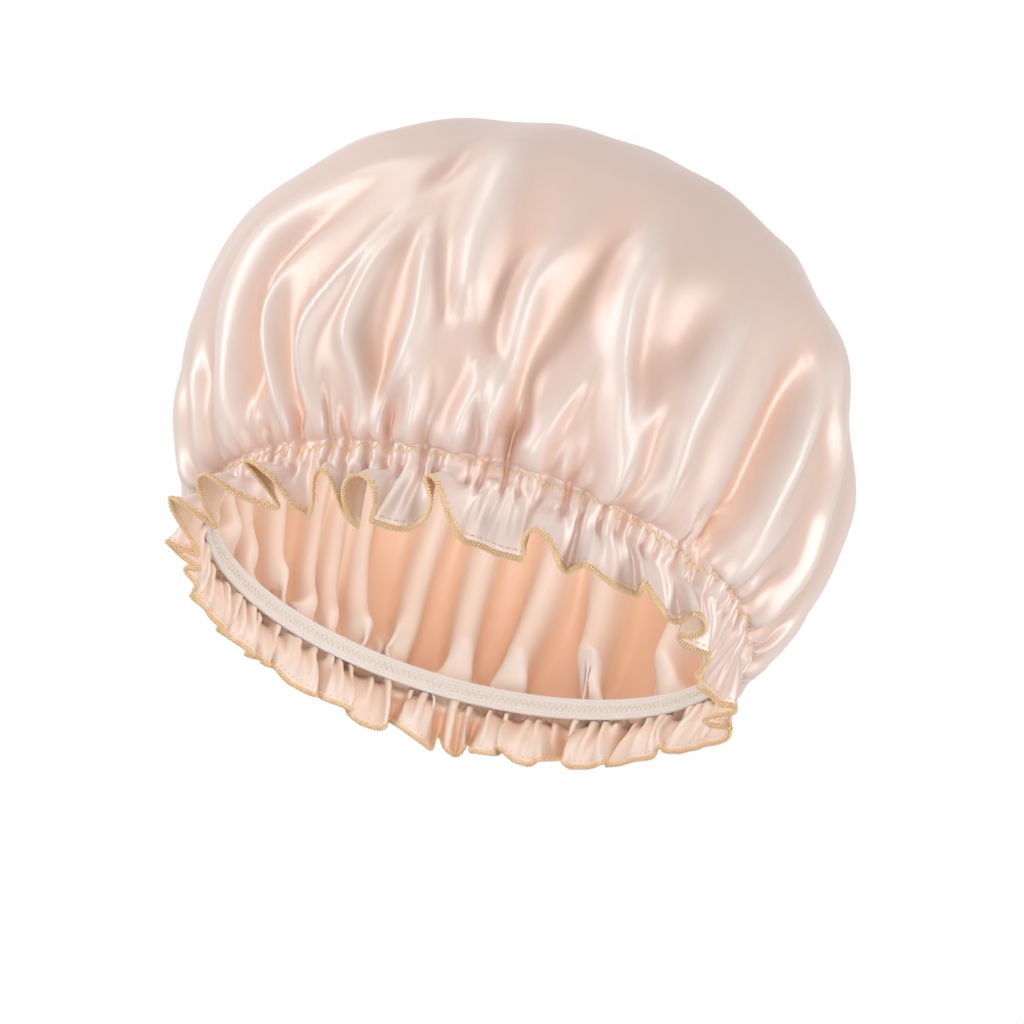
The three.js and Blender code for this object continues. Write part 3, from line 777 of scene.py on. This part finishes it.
def hangingRing(s, band):
    # the brim as it would hang from the elastic, in gathers; also how far out they stand
    free = s - bandFoot
    radius, sharp = satin["stitchRadius"], satin["lobeSharp"]
    share, own = satin["brimEase"]
    ease = (share * crownEase + own) * (1 - smooth(*fade["brimGathers"], free))
    along, out, _ = layRing(gatherRing(s, radius, ease), radius, satin["brimCloth"] * s)
    innermost = -np.log(spreadOut(np.exp(-sharp * out), 6)) / sharp
    fall = radius + 1.0 - satin["hangSlope"] * free + out - innermost
    gap = np.stack([fall * np.cos(along), fall * np.sin(along)], 1) - band[:, :2]
    length = np.hypot(*gap.T) + 1e-9
    limit = satin["hangMost"] * free
    short = limit * np.tanh((length / limit) ** 2) ** 0.5
    gap *= (short / length)[:, None]
    return np.column_stack([band[:, :2] + gap, band[:, 2] - np.sqrt(free ** 2 - short ** 2)]), out


def brimRing(s):
    free = s - bandFoot
    band = clothRing(bandFoot)
    # from gathers at the elastic to the hem's own course, the far side's lobes puffed towards the head
    share = smooth(*fade["hemCourse"], free)
    down = free / (hemAt - bandFoot)
    hanging, out = hangingRing(s, band)
    ring = hanging * (1 - share) + (band + (hemCourse - band) * down) * share
    lobe = farSide * np.interp(np.hypot(*hemCourse[:, :2].T), satin["lobeWithin"], (1, 0))
    puff = satin["lobePuff"] * lobe * np.sin(np.pi * down) + satin["hemWave"] * down * hemWave
    ring[:, :2] -= unit(ring[:, :2]) * puff[:, None]
    _, face = fallAndFace(ring, band)
    ring = ring + face * (satin["brimPucker"] * np.sin(np.pi * down ** 0.6) * brimWave)[:, None]
    # what stands out gets the painted crest highlight and what lies back, such as the gaps between the far
    # lobes, the painted valley shade; the near side is painted paler all over, painted light
    start, width = (near + (far - near) * farSide for near, far in satin["brimCrest"])
    stand = np.tanh((np.hypot(*ring[:, :2].T) - start) / width)
    deep = (0.5 + 0.5 * farSide) * ((1 - share) * np.tanh(out / satin["deep"]) + share * stand)
    return ring, deep - satin["brimPaintedLight"] * np.minimum(np.sin(grid), 0) * smooth(*fade["brimPaintedLight"], free)


ringStore, depthStore = {}, {}


def clothRing(s):
    # the cloth's ring at s mm from the crown's middle, worked out once
    key = round(float(s), 3)
    if key not in ringStore:
        ringStore[key], depthStore[key] = crownRing(s) if s <= bandFoot + 1e-6 else brimRing(s)
    return ringStore[key]


def pointsAt(ring, angles):
    return np.column_stack([np.interp(angles, grid, ring[:, i], period=fullTurn) for i in range(3)])


def joinRings(start, angles, base, t):
    # triangles between two rings of different counts, each step on the ring whose next point comes first
    many, count = len(angles), len(t)
    inner, outer = np.r_[angles[1:], fullTurn, np.inf], np.r_[t[1:], fullTurn, np.inf]
    faces = []
    i = j = 0
    while i < many or j < count:
        if inner[i] <= outer[j]:
            faces.append((start + i % many, base + j % count, start + (i + 1) % many))
            i += 1
        else:
            faces.append((start + i % many, base + j % count, base + (j + 1) % count))
            j += 1
    return faces


rows, gaps = [], []
ends = [row[0] for row in satin["rows"][1:]] + [stitchAt - satin["rowsClear"]]
for (start, step, gap), end in zip(satin["rows"], ends):
    part = list(np.arange(start, end, step))
    rows += part
    gaps += [gap] * len(part)
lower = list(np.linspace(stitchAt, bandFoot, satin["bandRows"]))
lower += list(np.linspace(bandFoot, hemAt, satin["brimRows"] + 1)[1:])
rows += lower
gaps += [gaps[-1]] * len(lower)

top = clothRing(rows[0]).mean(axis=0)
top[2] = satin["height"] + satin["lift"]
points, flat, depths, faces = [[top]], [np.zeros((1, 2))], [np.zeros(1)], []
before, beforeAngles, base = 0, None, 1
for s, gap in zip(rows, gaps):
    fewest, most = satin["rowPoints"] if s < bandFoot + 1 else satin["brimRowPoints"]
    count = int(min(most, max(fewest, fullTurn * s / gap)))
    t = np.arange(count) * fullTurn / count
    points.append(pointsAt(clothRing(s), t))
    flat.append(np.column_stack([s * np.cos(t), s * np.sin(t)]))
    depths.append(np.interp(t, grid, depthStore[round(float(s), 3)]))
    if beforeAngles is None:
        faces += [(0, base + i, base + (i + 1) % count) for i in range(count)]
    else:
        faces += joinRings(before, beforeAngles, base, t)
    before, beforeAngles = base, t
    base += count
points = np.vstack(points)
cloth = meshPiece("satinCloth", points, faces, satinFace)
cloth.data.materials.append(satinReverse)
layFlat(cloth, "flatCloth", np.vstack(flat))
# the fold depth that the satin's painted shade and painted highlight follow
cloth.data.attributes.new("foldDepth", "FLOAT", "POINT").data.foreach_set("value", np.concatenate(depths))
wall = cloth.modifiers.new("wall", "SOLIDIFY")
wall.thickness = satin["thickness"] * mm
wall.offset = -1
wall.material_offset = 1
wall.material_offset_rim = 0
bpy.context.view_layer.objects.active = cloth
bpy.ops.object.modifier_apply(modifier="wall")
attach(cloth, "root")
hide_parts("crown_cloth", "ruffle_cloth")
print("satin cloth", len(points), "points", len(faces), "faces, lowest", points[:, 2].min().round(2))

# sewing thread: texturised polyester, soft and a little fuzzy, so it is matt with paler crowns
threadFinish = {
    "gold": ("#FFD398", "#FFE6C0"),
    "pale": ("#EADFC8", "#F7F1E6"),
    "sheen": "#FFF6E8",
    "tuft": 0.9,  # mm
    "tuftHeight": 0.2,  # mm
}


def threadMaterial(name, dark, pale):
    material, add = newMaterial(name)
    place = add("TexCoord")
    tufts = add("TexNoise", {"Scale": 1 / (threadFinish["tuft"] * mm), "Detail": 2.0},
                {"Vector": place.outputs["Object"]})
    ramp = add("MapRange", {"From Min": 0.35, "From Max": 0.65}, {"Value": tufts.outputs["Fac"]})
    tone = add("Mix", {6: linear(dark), 7: linear(pale)}, {0: ramp.outputs[0]}, data_type="RGBA")
    fuzz = add("Bump", {"Strength": 0.3, "Distance": threadFinish["tuftHeight"] * mm},
               {"Height": tufts.outputs["Fac"]})
    shader = add("BsdfPrincipled",
                 {"Roughness": 0.6, "Sheen Weight": 0.25, "Sheen Roughness": 0.4,
                  "Sheen Tint": linear(threadFinish["sheen"])},
                 {"Base Color": tone.outputs[2], "Normal": fuzz.outputs[0]})
    add("OutputMaterial", None, {"Surface": shader.outputs[0]})
    return material


goldThread = threadMaterial("texturised polyester thread, gold", *threadFinish["gold"])
paleThread = threadMaterial("polyester thread, pale", *threadFinish["pale"])


def threadRun(name, runs, radius, material, closed=True):
    curve = bpy.data.curves.new(name, "CURVE")
    curve.dimensions = "3D"
    curve.bevel_depth = radius * mm
    curve.bevel_resolution = 1  # six sides
    curve.use_fill_caps = not closed
    for run in runs:
        spline = curve.splines.new("POLY")
        spline.points.add(len(run) - 1)
        spline.points.foreach_set("co", np.column_stack([(run + seat) * mm, np.ones(len(run))]).ravel())
        spline.use_cyclic_u = closed
    piece = bpy.data.objects.new(name, curve)
    scene.collection.objects.link(piece)
    bpy.ops.object.select_all(action="DESELECT")
    piece.select_set(True)
    bpy.context.view_layer.objects.active = piece
    bpy.ops.object.convert(target="MESH")
    piece = bpy.context.object
    piece.data.materials.clear()
    piece.data.materials.append(material)
    piece.data.shade_smooth()
    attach(piece, "root")
    return piece


def stitchesAlong(ring, pitch, samples):
    # whole stitches along a ring: how many, their phase, and a function that carries a ring's values to them
    closed = np.vstack([ring, ring[:1]])
    run = np.r_[0, np.cumsum(np.linalg.norm(np.diff(closed, axis=0), axis=1))]
    count = int(run[-1] / pitch)
    phase = np.arange(count * samples) * fullTurn / samples
    at = np.mod(phase / fullTurn * run[-1] / count, run[-1])

    def carried(values):
        return np.column_stack([np.interp(at, run, np.r_[values[:, i], values[0, i]]) for i in range(3)])

    return count, phase, carried


# overlocked hem: two looper threads wound over the cut edge; lengths in mm
overlock = {"pitch": 2.0, "depth": 1.6, "below": 0.3, "halfWidth": 0.5, "thread": 0.31, "samples": 7}
edge = clothRing(hemAt)
fall, face = fallAndFace(edge, clothRing(hemAt - 2.5))
turns, phase, carried = stitchesAlong(edge, overlock["pitch"], overlock["samples"])
strands = []
for start in (0, np.pi):
    upward = overlock["depth"] * (0.5 + 0.5 * np.cos(phase + start))
    outward = overlock["halfWidth"] * np.sin(phase + start)
    strands.append(carried(edge) + unit(carried(fall)) * (overlock["below"] - upward)[:, None]
                   + unit(carried(face)) * outward[:, None])
hem = threadRun("overlockHem", strands, overlock["thread"], goldThread)
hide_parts("overlock_hem")
print("overlocked hem", turns, "turns, lowest", strands[0][:, 2].min().round(2))

# needle thread that holds the overlocking, just above it
needleRow = {"above": 2.7, "stitch": 2.3, "samples": 6, "halfWidth": 0.34, "thread": 0.2}
row = clothRing(hemAt - needleRow["above"])
_, face = fallAndFace(row, clothRing(hemAt - needleRow["above"] - 2))
_, phase, carried = stitchesAlong(row, needleRow["stitch"], needleRow["samples"])
path = carried(row) + unit(carried(face)) * (needleRow["halfWidth"] * np.sin(phase))[:, None]
needle = threadRun("hemNeedleThread", [path], needleRow["thread"], goldThread)
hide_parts("hem_needle_thread")

# zigzag that holds the cloth on the elastic: needle thread outside, bobbin thread inside
zigzag = {"width": 2.4, "stitches": 260, "thread": 0.17, "bobbinThread": 0.16, "standOff": 0.12}
corner = np.arange(zigzag["stitches"] * 4)  # middle, top, middle and bottom of each stitch
angle = corner * fullTurn / len(corner)
level = np.array([0, 1, 0, -1])[corner % 4]
across = zigzag["width"] / 2 * level
rings = [pointsAt(clothRing(stitchAt - zigzag["width"] / 2 * side), angle) for side in (1, 0, -1)]
path = np.choose(1 - level[:, None], rings)
path += unit(path * [1, 1, 0]) * zigzag["standOff"]
needle = threadRun("needleZigzag", [path], zigzag["thread"], goldThread)
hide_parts("needle_zigzag")

# elastic: woven tape, white, with small ribs across it; lengths in mm
elastic = {
    "outer": 91.0,
    "thick": 1.0,
    "width": 8.0,
    "edge": (0.45, 0.2),  # in from its edges, where it thins
    "lap": 16.0,
    "ramp": 14.0,
    "step": 1.3,  # how far the upper end lies inside the lower one
    "from": -math.pi / 2,  # where the lower end starts, in radians round the cap
    "sections": 380,
    "lapSections": 40,
    "rib": 0.75,  # between the ribs across it
    "strand": 1.3,  # between the strands along it
    "weaveHeight": 0.3,
    "white": "#FCFCFA",
    "shade": "#F0ECE7",
}


def elasticMaterial():
    material, add = newMaterial("woven polyester elastic")
    uv = add("UVMap", uv_map="flatBand")  # the flat tape in metres
    ribs = add("TexWave", {"Scale": waveScale(elastic["rib"]), "Distortion": 0.6, "Detail": 1.0},
               {"Vector": uv.outputs[0]}, wave_type="BANDS", bands_direction="X")
    strands = add("TexWave", {"Scale": waveScale(elastic["strand"]), "Distortion": 0.4, "Detail": 1.0},
                  {"Vector": uv.outputs[0]}, wave_type="BANDS", bands_direction="Y")
    both = add("Math", {1: 0.5}, {0: strands.outputs["Fac"], 2: ribs.outputs["Fac"]},
               operation="MULTIPLY_ADD")
    ramp = add("MapRange", {"From Min": 0.2, "From Max": 1.0}, {"Value": both.outputs[0]})
    tone = add("Mix", {6: linear(elastic["shade"]), 7: linear(elastic["white"])},
               {0: ramp.outputs[0]}, data_type="RGBA")
    weave = add("Bump", {"Strength": 0.5, "Distance": elastic["weaveHeight"] * mm},
                {"Height": both.outputs[0]})
    shader = add("BsdfPrincipled", {"Roughness": 0.65, "Sheen Weight": 0.15, "Sheen Roughness": 0.4},
                 {"Base Color": tone.outputs[2], "Normal": weave.outputs[0]})
    add("OutputMaterial", None, {"Surface": shader.outputs[0]})
    return material


bandMiddle = elastic["outer"] - elastic["thick"] / 2
bandInner = elastic["outer"] - elastic["thick"]
lapTurn, rampTurn = elastic["lap"] / bandMiddle, elastic["ramp"] / bandMiddle


def bandInset(turn):
    return elastic["step"] * smooth(fullTurn - rampTurn, fullTurn, turn)


def bandPoint(reach, turn, upward):
    # turn counts from the elastic's lower end
    angle = elastic["from"] + turn
    return np.stack([reach * np.cos(angle), reach * np.sin(angle), satin["lift"] + upward + 0 * angle], -1)


turns = np.linspace(0, fullTurn - rampTurn, elastic["sections"])
turns = np.r_[turns, np.linspace(turns[-1], fullTurn + lapTurn, elastic["lapSections"])[1:]]
half, thick = elastic["width"] / 2, elastic["thick"] / 2
upper = [half / 2] + [half - inset for inset in elastic["edge"]]
levels = [-level for level in reversed(upper)] + [0] + upper
outline = [(level, thick) for level in levels] + [(half, 0)]
outline += [(level, -thick) for level in reversed(levels)] + [(-half, 0)]
points, flat = [], []
for turn in turns:
    points += [bandPoint(bandMiddle - bandInset(turn) + out, turn, level) for level, out in outline]
    flat += [(turn * bandMiddle, level) for level, _ in outline]
n = len(outline)
faces = [(i * n + j, (i + 1) * n + j, (i + 1) * n + (j + 1) % n, i * n + (j + 1) % n)
         for i in range(len(turns) - 1) for j in range(n)]
last = (len(turns) - 1) * n
faces += [tuple(range(n)), tuple(last + j for j in reversed(range(n)))]
band = meshPiece("elasticBand", points, faces, elasticMaterial())
layFlat(band, "flatBand", flat)
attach(band, "root")
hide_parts("elastic_band")

turn = np.mod(angle - elastic["from"], fullTurn)
inside = bandInner - bandInset(turn) - elastic["step"] * (turn < lapTurn) - zigzag["standOff"]
path = bandPoint(inside, turn, across)
bobbin = threadRun("bobbinZigzag", [path], zigzag["bobbinThread"], paleThread)
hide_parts("bobbin_zigzag")

# bar tacks over the lap of the elastic; their span is where on the lap they start and end, from 0 to 1
tack = {"span": (0.1, 0.9), "height": 1.0, "rise": 2.88, "throws": 17, "thread": 0.16}
for name, node, side in (("lapTackUpper", "lap_tack_upper", 1), ("lapTackLower", "lap_tack_lower", -1)):
    turn = lapTurn * np.linspace(*tack["span"], tack["throws"] * 2)
    swing = tack["height"] / 2 * np.where(np.arange(len(turn)) % 2, 1, -1)
    path = bandPoint(bandInner - elastic["step"] - zigzag["standOff"], turn, side * tack["rise"] + swing)
    piece = threadRun(name, [path], tack["thread"], paleThread, closed=False)
    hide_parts(node)
print("elastic and stitching done")
